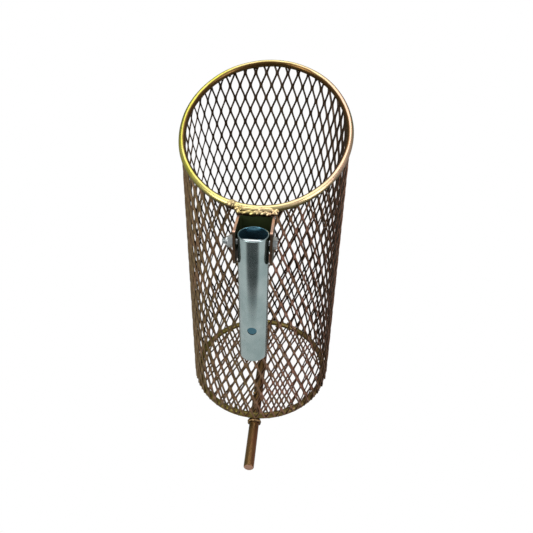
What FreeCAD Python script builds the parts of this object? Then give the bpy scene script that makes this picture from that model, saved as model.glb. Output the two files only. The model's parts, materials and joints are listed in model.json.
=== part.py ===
import FreeCAD, Part
import math
import os

# Catch basket of expanded steel mesh, carried on a pole: a rolled mesh cylinder that leans back from
# a flat base, a slanted mouth ringed with round bar, a tail rod under the base, and a pole socket
# that swings on a bolt in a bracket below the mouth.
#
# Frame: +Z up from the surface that the tail rod lies on, -Y towards the mouth's low side and the
# rod's free end, X across. The origin is the middle of the whole footprint. Most pieces are drawn in
# the cylinder's own frame (its axis is Z, its origin the middle of the wall's lower edge) and then
# leant back.

# Mesh cylinder
MESH_R = 95.0            # mid radius of the rolled mesh
SHEET = 0.9              # plain sheet as heavy as half-inch no. 13 expanded metal
LEAN = 7.2               # degrees from the base's normal to the cylinder's axis
MOUTH_SLANT = 32.1       # degrees from square across the cylinder to the mouth's plane
MOUTH_HEIGHT = 342.0     # along the axis, wall's lower edge to the middle of the mouth ring
AXIS_Y = 5.9             # middle of the wall's lower edge, behind the footprint's middle
WALL_RISE = 5.9          # wall's lower edge above the tail rod
FLOOR_R = 91.5           # the floor ends under the base ring

# Round bars
RING_BAR = 8.0
BASE_RING_R = 90.5       # middle of the bar, so that the ring sits inside the mesh
ROD_BAR = 12.7
ROD_FRONT = 160.4        # middle of the wall's lower edge to the rod's free end
ROD_BACK = 91.0          # middle of the wall's lower edge to the rod's inner end
ROD_CHAMFER = 0.8

# Bracket, bent from flat bar
BAR = 2.6
BRACKET_WIDTH = 39.4
BRACKET_HEIGHT = 40.6
BRACKET_BOTTOM = 236.0
BRACKET_BACK = 96.6      # cylinder's axis to the back of the web
BRACKET_FRONT = 134.2    # cylinder's axis to the ends of the ears
BEND_R = 5.0             # outside of the bends
EAR_LOW_R = 7.0
EAR_TOP_R = 2.5
EAR_DROP = 3.0           # fall of the ears' top edge from web to end

# Pivot
PIVOT_Y = -125.0
PIVOT_Z = 259.0
BOLT_D = 6.35
BOLT_LENGTH = 50.8       # under the head
HEX = 11.1               # across flats, head and nut
HEAD_HEIGHT = 4.3
NUT_HEX_HEIGHT = 5.6
NUT_COLLAR_HEIGHT = 2.3
NUT_COLLAR_R = 4.9
INSERT_R = 4.3
INSERT_DEPTH = 1.9
INSERT_BELOW = 0.5       # collar's face to the nylon
NUT_COLLAR_FILLET = 0.8
THREAD_CLEARANCE = 0.03
BOLT_CHAMFER = 0.6
CROWN_DEPTH = 0.15       # turned off a hexagon's flats as well as its corners
CROWN_SHARE = 0.97       # crown's face, as a share of the width across flats
EAR_HOLE_D = 6.6
TUBE_PIVOT_HOLE_D = 6.7

# Pole socket
TUBE_R = 15.875
TUBE_WALL = 1.65
TUBE_LENGTH = 157.0
PIVOT_BELOW_MOUTH = 9.5
SEAT_R = 14.5            # bore sized for the pole, up from the lower end
SEAT_DEPTH = 127.0
PIN_HOLE_D = 10.3
PIN_HOLE_UP = 44.7       # lower end to the cross-pin hole
REST_ANGLE = 4.75        # degrees, lower end leaning in against the mesh

# Welds
BEAD_R = 3.2
BEAD_HALF_LENGTH = 16.0
CORNER_BEAD_R = 4.6
BEAD_RISE = 3.0          # bead's middle above the bracket
BEAD_Y = -98.4
CORNER_BEAD_Y = -96.6
CORNER_BEAD_OUT = 2.0    # past the end of the bead
COLLAR_BEAD_R = 3.2      # section of the bead over the tail rod
COLLAR_RISE = 0.6
COLLAR_LOW = 0.35        # where the beads end, as a share of the rod
COLLAR_FRONT = -95.0     # where the rod crosses the base ring
COLLAR_BACK = 87.0
SLEEVE_RISE = 0.7        # bead around a ring's butt joint
SLEEVE_LENGTH = 6.0
RING_GAP = 0.12          # left between a weld and the ring it sits on
MOUTH_JOINT_ANGLE = -106.0   # from +X, seen from above
BASE_JOINT_ANGLE = 60.0
TACK_R = 2.2
TACK_STRETCH = 14.0      # of ring, past both sides of a tack
TACKS = 15               # round each ring
TACK_FIRST = 6.0         # degrees from +X to the first tack
BASE_TACK_FIRST = 18.0
MOUTH_TACK_IN = 1.6      # mesh's mid radius to a tack's middle
BASE_TACK_IN = 1.4
SEAM_TACK_IN = 1.2
FLOOR_TACK_IN = 0.4      # inside of the base ring to a tack's middle
SEAM_TACKS = 6
SEAM_FIRST = 30.0
SEAM_PITCH = 42.0

FAR = 800.0              # larger than the whole part
V = FreeCAD.Vector
X_AXIS = V(1, 0, 0)
Y_AXIS = V(0, 1, 0)
Z_AXIS = V(0, 0, 1)


def half_space(point, normal):
    """A block that fills the side of a plane that its normal points to."""
    block = Part.makeBox(FAR, FAR, FAR, V(-FAR / 2, -FAR / 2, 0))
    block.Placement = FreeCAD.Placement(point, FreeCAD.Rotation(Z_AXIS, normal))
    return block


def lean(shape):
    """From the cylinder's frame to the part's frame."""
    moved = shape.copy()
    moved.rotate(V(0, 0, 0), X_AXIS, -LEAN)
    moved.translate(V(0, AXIS_Y, ROD_BAR + WALL_RISE))
    return moved


def rod_along(direction, radius, length, start):
    """A round bar from a start point."""
    return Part.makeCylinder(radius, length, start, direction)


def ring_on(centre, normal, semi_x, semi_y, bar_r):
    """A round bar bent to an ellipse whose long axis lies in the YZ plane."""
    along_y = normal.cross(X_AXIS)
    along_y.normalize()
    path = Part.Ellipse(centre + along_y * semi_y, centre + X_AXIS * semi_x, centre)
    start = path.value(0)
    section = Part.Wire(Part.Circle(start, path.tangent(0)[0], bar_r).toShape())
    return Part.Wire(path.toShape()).makePipeShell([section], True, True)


def chamfered_hex(height, start, crowned_end):
    """A hexagon whose corners are turned off at one end: +1 for the +X end, -1 for the -X end."""
    corner_r = HEX / 2 / math.cos(math.radians(30))
    flat_r = HEX / 2
    corners = []
    for k in range(7):
        angle = math.radians(60 * k)
        corners.append(start + V(0, corner_r * math.cos(angle), corner_r * math.sin(angle)))
    prism = Part.Face(Part.makePolygon(corners)).extrude(V(height, 0, 0))
    depth = (corner_r - flat_r) * math.tan(math.radians(30)) + CROWN_DEPTH
    rise = height - depth
    body = Part.makeCylinder(corner_r + 1, rise, V(0, 0, 0), X_AXIS)
    turned = Part.makeCone(corner_r, flat_r * CROWN_SHARE, depth, V(rise, 0, 0), X_AXIS)
    envelope = body.fuse(turned)
    if crowned_end < 0:
        envelope.rotate(V(0, 0, 0), Z_AXIS, 180)
        envelope.translate(V(height, 0, 0))
    envelope.translate(start)
    return prism.common(envelope)


def without(shape, *others):
    """The shape with its neighbours' space taken out, as its largest solid."""
    for other in others:
        shape = shape.cut(other)
    return max(shape.Solids, key=lambda solid: solid.Volume)


# ---- the mesh: a rolled wall and a flat floor, both as plain sheet ----
slant = math.radians(MOUTH_SLANT)
mouth_normal = V(0, -math.sin(slant), math.cos(slant))
mouth_centre = V(0, 0, MOUTH_HEIGHT)
base_normal = V(0, -math.sin(math.radians(LEAN)), math.cos(math.radians(LEAN)))


def rolled(radius):
    """A bar of the cylinder's section, longer than the wall at both ends."""
    return Part.makeCylinder(radius, FAR, V(0, 0, -FAR / 4))


inside = rolled(MESH_R - SHEET / 2)
wall_mesh = rolled(MESH_R + SHEET / 2).cut(inside)
wall_mesh = wall_mesh.cut(half_space(mouth_centre - mouth_normal * (RING_BAR / 2), mouth_normal))
wall_mesh = wall_mesh.cut(half_space(V(0, 0, 0), base_normal * -1))

floor_sheet = rolled(FLOOR_R).cut(half_space(base_normal * -WALL_RISE, base_normal * -1))
bottom_mesh = floor_sheet.cut(half_space(base_normal * (SHEET - WALL_RISE), base_normal))

# ---- the bars ----
mouth_ring = ring_on(mouth_centre, mouth_normal, MESH_R, MESH_R / math.cos(slant), RING_BAR / 2)
base_ring_up = SHEET - WALL_RISE + RING_BAR / 2
base_ring_centre = Z_AXIS * (base_ring_up / math.cos(math.radians(LEAN)))
base_ring_long = BASE_RING_R / math.cos(math.radians(LEAN))
base_ring = ring_on(base_ring_centre, base_normal, BASE_RING_R, base_ring_long, RING_BAR / 2)

rod_start = V(0, AXIS_Y - ROD_FRONT, ROD_BAR / 2)
tail_rod = rod_along(Y_AXIS, ROD_BAR / 2, ROD_FRONT + ROD_BACK, rod_start)
rod_rims = [edge for edge in tail_rod.Edges if edge.Closed]
tail_rod = tail_rod.makeChamfer(ROD_CHAMFER, rod_rims)

# ---- the bracket ----
ear_top = BRACKET_BOTTOM + BRACKET_HEIGHT
bracket_depth = BRACKET_FRONT - BRACKET_BACK


def upright_edges(shape, y):
    """The shape's edges that run along Z at one Y."""
    found = []
    for edge in shape.Edges:
        box = edge.BoundBox
        if box.ZLength > BRACKET_HEIGHT / 2 and abs(box.YMin - y) < 0.01 and box.YLength < 0.01:
            found.append(edge)
    return found


outer = Part.makeBox(BRACKET_WIDTH, bracket_depth, BRACKET_HEIGHT,
                     V(-BRACKET_WIDTH / 2, -BRACKET_FRONT, BRACKET_BOTTOM))
outer = outer.makeFillet(BEND_R, upright_edges(outer, -BRACKET_BACK))
gap = BRACKET_WIDTH - 2 * BAR
inner = Part.makeBox(gap, bracket_depth, BRACKET_HEIGHT + 2,
                     V(-gap / 2, -BRACKET_FRONT - BAR, BRACKET_BOTTOM - 1))
inner = inner.makeFillet(BEND_R - BAR, upright_edges(inner, -BRACKET_BACK - BAR))
bracket = outer.cut(inner)
drop = math.atan2(EAR_DROP, bracket_depth)
top_point = V(0, -BRACKET_BACK - BAR, ear_top)
bracket = bracket.cut(half_space(top_point, V(0, -math.sin(drop), math.cos(drop))))


def ear_end_edges(shape, low):
    """The edges across the ears' ends, low or high."""
    found = []
    for edge in shape.Edges:
        box = edge.BoundBox
        across = box.XLength > BAR / 2 and box.YLength < 0.01 and box.ZLength < 0.01
        if across and abs(box.YMin + BRACKET_FRONT) < 0.01 and (box.ZMin < PIVOT_Z) == low:
            found.append(edge)
    return found


bracket = bracket.makeFillet(EAR_LOW_R, ear_end_edges(bracket, True))
bracket = bracket.makeFillet(EAR_TOP_R, ear_end_edges(bracket, False))
pivot = V(0, PIVOT_Y, PIVOT_Z)
across_all = pivot - X_AXIS * (FAR / 4)
bracket = bracket.cut(rod_along(X_AXIS, EAR_HOLE_D / 2, FAR / 2, across_all))

# ---- the pivot bolt and its lock nut ----
ear_face = BRACKET_WIDTH / 2
shank_start = pivot + X_AXIS * (ear_face - BOLT_LENGTH)
shank = rod_along(X_AXIS, BOLT_D / 2, BOLT_LENGTH, shank_start)
shank = shank.makeChamfer(BOLT_CHAMFER, [e for e in shank.Edges if e.Closed and e.BoundBox.XMax < 0])
bolt_head = chamfered_hex(HEAD_HEIGHT, pivot + X_AXIS * ear_face, 1)
pivot_bolt = shank.fuse(bolt_head).removeSplitter()

nut_inner = pivot - X_AXIS * ear_face
nut_hex = chamfered_hex(NUT_HEX_HEIGHT, nut_inner - X_AXIS * NUT_HEX_HEIGHT, -1)
collar_height = NUT_HEX_HEIGHT + NUT_COLLAR_HEIGHT
collar = rod_along(X_AXIS * -1, NUT_COLLAR_R, collar_height, nut_inner)
collar_end_x = nut_inner.x - NUT_HEX_HEIGHT
collar_rims = [e for e in collar.Edges if e.Closed and e.BoundBox.XMax < collar_end_x]
collar = collar.makeFillet(NUT_COLLAR_FILLET, collar_rims)
insert_start = nut_inner - X_AXIS * (collar_height - INSERT_BELOW)
insert_space = rod_along(X_AXIS, INSERT_R, INSERT_DEPTH, insert_start)
bolt_space = rod_along(X_AXIS, BOLT_D / 2 + THREAD_CLEARANCE, FAR / 2, across_all)
lock_nut = nut_hex.fuse(collar).cut(insert_space).cut(bolt_space).removeSplitter()
nut_insert = insert_space.cut(bolt_space)

# ---- the pole socket, drawn about its pivot with its mouth up ----
lower_end = PIVOT_BELOW_MOUTH - TUBE_LENGTH
pole_socket = rod_along(Z_AXIS, TUBE_R, TUBE_LENGTH, V(0, 0, lower_end))
pole_socket = pole_socket.cut(rod_along(Z_AXIS, TUBE_R - TUBE_WALL, TUBE_LENGTH, V(0, 0, lower_end)))
pole_socket = pole_socket.cut(rod_along(Z_AXIS, SEAT_R, SEAT_DEPTH, V(0, 0, lower_end)))
pivot_hole = rod_along(X_AXIS, TUBE_PIVOT_HOLE_D / 2, FAR / 2, V(-FAR / 4, 0, 0))
pin_hole = rod_along(Y_AXIS, PIN_HOLE_D / 2, FAR / 2, V(0, -FAR / 4, lower_end + PIN_HOLE_UP))
pole_socket = pole_socket.cut(pivot_hole).cut(pin_hole)
pole_socket.rotate(V(0, 0, 0), X_AXIS, REST_ANGLE)
pole_socket.translate(pivot)

# ---- welds, each cut back to the faces of the pieces that it joins ----
bead_line = V(0, BEAD_Y, ear_top + BEAD_RISE)
bead = rod_along(X_AXIS, BEAD_R, 2 * BEAD_HALF_LENGTH, bead_line - X_AXIS * BEAD_HALF_LENGTH)
bracket_weld = without(bead, mouth_ring, bracket, wall_mesh)

corner_welds = []
for side in (-1, 1):
    corner = V(side * (BEAD_HALF_LENGTH + CORNER_BEAD_OUT), CORNER_BEAD_Y, ear_top + BEAD_RISE)
    ball = Part.makeSphere(CORNER_BEAD_R, corner)
    corner_welds.append(without(ball, mouth_ring, bracket, wall_mesh, bracket_weld))
bracket_corner_welds = Part.makeCompound(corner_welds)


def straight_stretch(centre, normal, semi_x, semi_y, turn, radius, length):
    """A straight bar that stands in for a short stretch of a ring, and the ring's tangent there."""
    along_y = normal.cross(X_AXIS)
    at = centre + X_AXIS * (semi_x * math.cos(turn)) + along_y * (semi_y * math.sin(turn))
    tangent = X_AXIS * (-semi_x * math.sin(turn)) + along_y * (semi_y * math.cos(turn))
    tangent.normalize()
    return Part.makeCylinder(radius, length, at - tangent * (length / 2), tangent)


def on_mouth_ring(turn, radius, length):
    semi_y = MESH_R / math.cos(slant)
    return straight_stretch(mouth_centre, mouth_normal, MESH_R, semi_y, turn, radius, length)


def on_base_ring(turn, radius, length):
    semi_y = base_ring_long
    return straight_stretch(base_ring_centre, base_normal, BASE_RING_R, semi_y, turn, radius, length)


# the bead around the butt joint of each ring
ring_space_r = RING_BAR / 2 + RING_GAP
mouth_joint = math.radians(MOUTH_JOINT_ANGLE)
mouth_sleeve = on_mouth_ring(mouth_joint, RING_BAR / 2 + SLEEVE_RISE, SLEEVE_LENGTH)
mouth_ring_joint_weld = mouth_sleeve.cut(on_mouth_ring(mouth_joint, ring_space_r, FAR / 8))
mouth_ring_joint_weld = without(mouth_ring_joint_weld, wall_mesh, bracket, bracket_corner_welds)
base_joint = math.radians(BASE_JOINT_ANGLE)
base_sleeve = on_base_ring(base_joint, RING_BAR / 2 + SLEEVE_RISE, SLEEVE_LENGTH)
base_ring_joint_weld = base_sleeve.cut(on_base_ring(base_joint, ring_space_r, FAR / 8))
base_ring_joint_weld = without(base_ring_joint_weld, wall_mesh, bottom_mesh)


def rod_beads(y):
    """The two beads beside the rod where it crosses the base ring, in the part's frame."""
    middle = V(0, AXIS_Y + y, ROD_BAR / 2)
    collar = Part.makeTorus(ROD_BAR / 2 + COLLAR_RISE, COLLAR_BEAD_R, middle, Y_AXIS)
    collar = collar.cut(half_space(V(0, 0, ROD_BAR * COLLAR_LOW), Z_AXIS * -1))
    collar = collar.cut(half_space(V(0, 0, ROD_BAR), Z_AXIS))
    collar = collar.cut(rod_along(Y_AXIS, ROD_BAR / 2, FAR, V(0, -FAR / 2, ROD_BAR / 2)))
    return Part.makeCompound(collar.Solids)


rod_weld_front = rod_beads(COLLAR_FRONT)
rod_weld_back = rod_beads(COLLAR_BACK)


def tacks_round(height_at, radius, first, ring_stretch, *neighbours):
    """Small weld tacks round a ring, each at the height that a function of its Y gives."""
    tacks = []
    for k in range(TACKS):
        turn = math.radians(first + 360.0 * k / TACKS)
        y = radius * math.sin(turn)
        ball = Part.makeSphere(TACK_R, V(radius * math.cos(turn), y, height_at(y)))
        ring_space = ring_stretch(turn, ring_space_r, TACK_STRETCH)
        tacks.append(without(ball.common(inside), ring_space, *neighbours))
    return Part.makeCompound(tacks)


def under_mouth_ring(y):
    return MOUTH_HEIGHT + y * math.tan(slant) - RING_BAR / 2 / math.cos(slant) - TACK_R / 3


def base_height(y, above_floor):
    return above_floor + y * math.tan(math.radians(LEAN))


def over_base_ring(y):
    return base_height(y, base_ring_up + RING_BAR / 2 - TACK_R / 5)


def beside_base_ring(y):
    return base_height(y, SHEET - WALL_RISE + TACK_R / 4)


mouth_tack_welds = tacks_round(under_mouth_ring, MESH_R - MOUTH_TACK_IN, TACK_FIRST, on_mouth_ring)
base_tack_welds = tacks_round(over_base_ring, MESH_R - BASE_TACK_IN, BASE_TACK_FIRST, on_base_ring)
floor_tack_r = BASE_RING_R - RING_BAR / 2 - FLOOR_TACK_IN
floor_tack_welds = tacks_round(beside_base_ring, floor_tack_r, TACK_FIRST, on_base_ring, bottom_mesh)

seam_tacks = []
for k in range(SEAM_TACKS):
    seam_z = SEAM_FIRST + k * SEAM_PITCH
    ball = Part.makeSphere(TACK_R, V(0, -MESH_R + SEAM_TACK_IN, seam_z))
    seam_tacks.append(ball.common(inside))
wall_seam_welds = Part.makeCompound(seam_tacks)

leaning = {
    "wall_mesh": wall_mesh,
    "bottom_mesh": bottom_mesh,
    "mouth_ring": mouth_ring,
    "base_ring": base_ring,
    "bracket": bracket,
    "pole_socket": pole_socket,
    "pivot_bolt": pivot_bolt,
    "lock_nut": lock_nut,
    "nut_insert": nut_insert,
    "bracket_weld": bracket_weld,
    "bracket_corner_welds": bracket_corner_welds,
    "mouth_ring_joint_weld": mouth_ring_joint_weld,
    "base_ring_joint_weld": base_ring_joint_weld,
    "mouth_tack_welds": mouth_tack_welds,
    "base_tack_welds": base_tack_welds,
    "floor_tack_welds": floor_tack_welds,
    "wall_seam_welds": wall_seam_welds,
}
nodes = {name: lean(shape) for name, shape in leaning.items()}
nodes["tail_rod"] = tail_rod
nodes["rod_weld_front"] = rod_weld_front
nodes["rod_weld_back"] = rod_weld_back

os.makedirs("parts", exist_ok=True)
for name, shape in nodes.items():
    shape.exportStep(f"parts/{name}.step")

whole = Part.makeCompound(list(nodes.values())).BoundBox
corners = (whole.XMin, whole.YMin, whole.ZMin, whole.XMax, whole.YMax, whole.ZMax)
print("box", [round(v, 2) for v in corners])
for name, shape in nodes.items():
    print(name, len(shape.Solids), shape.isValid(), round(shape.Volume, 1))


def in_part_frame(point):
    """A point of the cylinder's frame, in the part's frame and in metres."""
    turned = FreeCAD.Rotation(X_AXIS, -LEAN).multVec(point)
    turned += V(0, AXIS_Y, ROD_BAR + WALL_RISE)
    return [round(value / 1000, 6) for value in turned]


tube_down = FreeCAD.Rotation(X_AXIS, REST_ANGLE).multVec(Z_AXIS * -1)
print("pivot", in_part_frame(pivot))
print("socket end", in_part_frame(pivot - tube_down * lower_end))
print("pin hole", in_part_frame(pivot - tube_down * (lower_end + PIN_HOLE_UP)))
print("tube down", FreeCAD.Rotation(X_AXIS, -LEAN).multVec(tube_down))
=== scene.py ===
import bpy
import json
import math
import numpy as np
from mathutils import Matrix, Vector


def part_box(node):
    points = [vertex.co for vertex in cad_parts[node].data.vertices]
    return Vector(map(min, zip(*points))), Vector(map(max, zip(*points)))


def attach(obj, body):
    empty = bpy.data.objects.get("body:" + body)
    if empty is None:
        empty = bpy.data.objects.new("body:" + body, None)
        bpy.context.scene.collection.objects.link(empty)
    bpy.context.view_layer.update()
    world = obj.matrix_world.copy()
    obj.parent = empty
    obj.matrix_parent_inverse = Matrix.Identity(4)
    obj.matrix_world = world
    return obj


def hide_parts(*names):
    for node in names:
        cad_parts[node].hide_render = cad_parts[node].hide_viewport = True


# Catch basket of expanded steel mesh with a pole socket. Everything is in metres. Most pieces are worked
# out in the mesh cylinder's own frame (axis Z, origin in the middle of the wall's lower edge, front -Y)
# and then leant back over the flat base by leant().

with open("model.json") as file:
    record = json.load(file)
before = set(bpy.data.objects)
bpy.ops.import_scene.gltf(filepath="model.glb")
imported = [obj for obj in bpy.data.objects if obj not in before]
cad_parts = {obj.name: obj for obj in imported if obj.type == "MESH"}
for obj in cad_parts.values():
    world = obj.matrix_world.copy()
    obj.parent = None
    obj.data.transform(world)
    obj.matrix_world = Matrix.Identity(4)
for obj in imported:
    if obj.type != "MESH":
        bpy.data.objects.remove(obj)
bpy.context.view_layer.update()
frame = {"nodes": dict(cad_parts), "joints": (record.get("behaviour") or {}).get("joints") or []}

# ---- driving dimensions ----
MESH_R = 0.095             # mid radius of the rolled mesh
LEAN = math.radians(7.2)
MOUTH_SLANT = math.radians(32.1)
MOUTH_HEIGHT = 0.342       # base to the mouth ring's middle, along the axis
AXIS_Y = 0.0059            # middle of the wall's lower edge, from the footprint's middle
WALL_RISE = 0.0059         # wall's lower edge above the tail rod
RING_R = 0.004             # section of the mouth and base rings
BASE_RING_R = 0.0905
FLOOR_R = 0.0912
ROD_R = 0.00635
SHEET = 0.0009             # room that the floor mesh takes under the base ring

CELLS = 44                 # mesh cells round the cylinder
CELL_LONG = 0.030
CELL_WIDE = 2 * math.pi * MESH_R / CELLS
FIRST_ROW = 0.3906         # height of a row of bonds near the back of the mouth
FIRST_COLUMN = math.radians(99.2)   # where round the cylinder the count starts
STRAND_WIDE = 0.0023
STRAND_THICK = 0.0015
STRAND_TILT = math.radians(26)
BOND_SPREAD = 0.62         # of a strand's width, between a bond's two strands
BOND = 0.05                # share of a half cell that is bond, each side
STRAND_STEPS = np.array([0.0, 0.1, 0.2, 0.35, 0.5, 0.65, 0.8, 0.9])     # sections over a half cell

PIVOT = Vector(frame["joints"][0]["pos_m"])
SOCKET_TILT = math.radians(4.75) - LEAN     # the tube's lean from upright, lower end out
TUBE_R = 0.015875
TUBE_WALL = 0.00165
TUBE_TOP = 0.0095          # pivot to the tube's mouth
TUBE_LENGTH = 0.157
SEAT_R = 0.0145
SEAT_DEPTH = 0.127
PIVOT_HOLE_R = 0.00335
PIN_HOLE_R = 0.00515
PIN_HOLE_UP = 0.0447

EAR_FACE = 0.0197          # middle plane to the outside of an ear
BOLT_R = 0.003175
BOLT_REACH = 0.0311        # middle plane to the bolt's end, past the nut
THREAD_PITCH = 0.00127
THREAD_DEPTH = 0.00042
THREAD_START = 0.0185
HEX_FLAT = 0.00555         # half across flats
HEX_CORNER = HEX_FLAT / math.cos(math.radians(30))
HEX_PAST = HEX_CORNER + 0.0001      # radius of a hexagon's blank, so its corners are cut and not turned
HEAD_HEIGHT = 0.0043
NUT_HEX_HEIGHT = 0.0056
NUT_HEIGHT = 0.0079
NUT_COLLAR_R = 0.0049
INSERT_R = 0.0043

BRACKET_TOP = 0.2766       # in the cylinder's frame
BEAD_LINE_Y = -0.0984
EAR_END = -0.1342 + AXIS_Y * math.cos(LEAN) - (2 * ROD_R + WALL_RISE) * math.sin(LEAN)

X_AXIS = np.array([1.0, 0.0, 0.0])
Z_AXIS = np.array([0.0, 0.0, 1.0])


# ---- places ----
def leant(points):
    """From the cylinder's frame to the part's: turned by the lean about X, then set on top of the rod."""
    x, y, z = np.moveaxis(np.asarray(points, float), -1, 0)
    along, up = math.cos(LEAN), math.sin(LEAN)
    return np.stack([x, y * along + z * up + AXIS_Y, z * along - y * up + 2 * ROD_R + WALL_RISE], -1)


def about_pivot(points):
    """From the socket's frame (origin at the pivot, Z up the tube) to the part's frame."""
    x, y, z = np.moveaxis(np.asarray(points, float), -1, 0)
    along, up = math.cos(SOCKET_TILT), math.sin(SOCKET_TILT)
    return np.stack([x + PIVOT.x, y * along - z * up + PIVOT.y, y * up + z * along + PIVOT.z], -1)


def on_bolt(points):
    """From the bolt's frame (origin at the pivot, X along the bolt) to the part's frame."""
    return np.asarray(points, float) + np.array(PIVOT)


def unit(vectors):
    return vectors / np.linalg.norm(vectors, axis=-1, keepdims=True)


# ---- surfaces ----
def skin(grid, loop=False, start=None, end=None):
    """Faces over a grid of points, rows by columns: columns always close round, rows close if loop is
    true, and a start or end point closes the first or last row with a fan. Turned to face outwards."""
    rows, cols = grid.shape[:2]
    index = np.arange(rows * cols).reshape(rows, cols)
    below = index if loop else index[:-1]
    above = np.roll(index, -1, 0) if loop else index[1:]
    quads = np.stack([below, np.roll(below, -1, 1), np.roll(above, -1, 1), above], -1).reshape(-1, 4)
    verts = grid.reshape(-1, 3)
    tris = np.zeros((0, 3), int)
    for tip, ring in ((start, index[0][::-1]), (end, index[-1])):
        if tip is not None:
            fan = np.stack([ring, np.roll(ring, -1), np.full(cols, len(verts))], -1)
            tris = np.vstack([tris, fan])
            verts = np.vstack([verts, np.reshape(tip, (1, 3))])
    corners = np.vstack([quads[:, :3], quads[:, [0, 2, 3]], tris])
    a, b, c = (verts[corners[:, k]] for k in range(3))
    if np.einsum("ij,ij->", a, np.cross(b, c)) < 0:
        quads, tris = quads[:, ::-1], tris[:, ::-1]
    return verts, quads, tris


def joined(parts):
    """Several skins as one."""
    verts, quads, tris, count = [], [], [], 0
    for v, q, t in parts:
        verts.append(v)
        quads.append(q + count)
        tris.append(t + count)
        count += len(v)
    return np.vstack(verts), np.vstack(quads), np.vstack(tris)


def swept(path, radius, sides=20, loop=False):
    """A round section carried along a path: each row is the path's point plus radius times the cosine and
    sine of the angle round, across and along a normal that leans as near to upright as it can. Radius may
    change over the path and round the section. Open ends close to a point."""
    if loop:
        tangent = unit(np.roll(path, -1, 0) - np.roll(path, 1, 0))
    else:
        tangent = unit(np.gradient(path, axis=0))
    side = unit(np.cross(tangent, Z_AXIS))
    over = np.cross(side, tangent)
    turn = np.linspace(0, 2 * np.pi, sides, endpoint=False)[:, None]
    radius = np.reshape(radius, (len(path), -1, 1))
    grid = path[:, None] + radius * (np.cos(turn) * side[:, None] + np.sin(turn) * over[:, None])
    if loop:
        return skin(grid, loop=True)
    return skin(grid, start=path[0], end=path[-1])


def turned(profile, sides=64, hexed=False, thread=False, closed=True):
    """A profile of (radius, height) points turned about X: each column is the profile at one angle. hexed
    keeps the radius inside a hexagon, so that cones leave the curved edges of a real nut. thread takes a
    triangle wave off the radius, a turn for each pitch. A profile that isn't closed ends on the axis."""
    radius, height = np.array(profile, float).T
    turn = np.linspace(0, 2 * np.pi, sides, endpoint=False)
    r = np.repeat(radius[:, None], sides, 1)
    h = np.repeat(height[:, None], sides, 1)
    if hexed:
        sixth = math.radians(60)
        flat = HEX_FLAT / np.cos((turn % sixth) - sixth / 2)
        r = np.minimum(r, flat[None, :])
    if thread:
        wave = np.abs((h / THREAD_PITCH - turn[None, :] / (2 * np.pi)) % 1.0 * 2 - 1)
        cut = np.clip((np.abs(h) - THREAD_START) / THREAD_PITCH, 0, 1)
        r = r - THREAD_DEPTH * cut * wave * (r > BOLT_R * 0.9)
    grid = np.stack([h, r * np.cos(turn), r * np.sin(turn)], -1)
    if closed:
        return skin(grid, loop=True)
    return skin(grid, start=(height[0], 0, 0), end=(height[-1], 0, 0))


def rounded(corners, radius, steps=4, closed=True):
    """An outline with its corners taken round: each corner becomes a short curve between two points that
    lie a radius away on its sides."""
    points = np.array(corners, float)
    out = []
    for k in range(len(points)):
        here = points[k]
        if not closed and k in (0, len(points) - 1):
            out.append(here)
            continue
        before, after = points[k - 1] - here, points[(k + 1) % len(points)] - here
        cut = min(radius, 0.45 * np.linalg.norm(before), 0.45 * np.linalg.norm(after))
        first, last = here + unit(before) * cut, here + unit(after) * cut
        for t in np.linspace(0, 1, steps):
            out.append((1 - t) ** 2 * first + 2 * t * (1 - t) * here + t ** 2 * last)
    return out


def blob(centre, radius, seed, flat=1.0, axis=Z_AXIS):
    """A lump of weld: a sphere of latitude and longitude, its radius swollen by a few slow waves, and
    flattened along an axis."""
    draw = np.random.default_rng(seed)
    lat = np.linspace(0, np.pi, 10)[1:-1, None]
    lon = np.linspace(0, 2 * np.pi, 14, endpoint=False)[None, :]
    push = 1 + 0.12 * np.sin(2 * lon + draw.uniform(0, 6)) * np.sin(lat) ** 2
    second = np.sin(3 * lat + draw.uniform(0, 6)) * np.cos(lon + draw.uniform(0, 6))
    push = push + 0.10 * second * np.sin(lat)
    ball = np.stack([push * np.sin(lat) * np.cos(lon), push * np.sin(lat) * np.sin(lon),
                     push * np.cos(lat) + 0 * lon], -1)
    poles = np.array([[0, 0, 1.0], [0, 0, -1.0]])
    axis = np.asarray(axis, float)

    def placed(p):
        p = p - axis * (p @ axis)[..., None] * (1 - flat)
        return np.asarray(centre) + radius * p

    return skin(placed(ball), start=placed(poles[0]), end=placed(poles[1]))


def piece(name, shape, material, body, node, sharp=35, place=None):
    """A finished mesh object at the origin: faces from a skin, smooth but for edges sharper than an angle,
    riding on its body and standing for a CAD node."""
    verts, quads, tris = shape
    if place:
        verts = place(verts)
    mesh = bpy.data.meshes.new(name)
    mesh.from_pydata(verts, [], quads.tolist() + tris.tolist())
    mesh.polygons.foreach_set("use_smooth", np.ones(len(mesh.polygons), bool))
    mesh.set_sharp_from_angle(angle=math.radians(sharp))
    mesh.materials.append(material)
    made = bpy.data.objects.new(name, mesh)
    bpy.context.scene.collection.objects.link(made)
    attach(made, body)
    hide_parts(node)
    return made


def marked(made, label, values):
    """A number for each vertex, for a material to read."""
    layer = made.data.attributes.new(label, "FLOAT", "POINT")
    layer.data.foreach_set("value", np.asarray(values, np.float32))


# ---- shader groups ----
def group(name, inputs, outputs):
    """An empty node group with named sockets: (name, kind, default) for each input, (name, kind) for each
    output. Returns the tree and its input and output nodes."""
    tree = bpy.data.node_groups.new(name, "ShaderNodeTree")
    for label, kind, value in inputs:
        socket = tree.interface.new_socket(label, in_out="INPUT", socket_type=kind)
        if value is not None:
            socket.default_value = value
    for label, kind in outputs:
        tree.interface.new_socket(label, in_out="OUTPUT", socket_type=kind)
    return tree, tree.nodes.new("NodeGroupInput"), tree.nodes.new("NodeGroupOutput")


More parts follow.
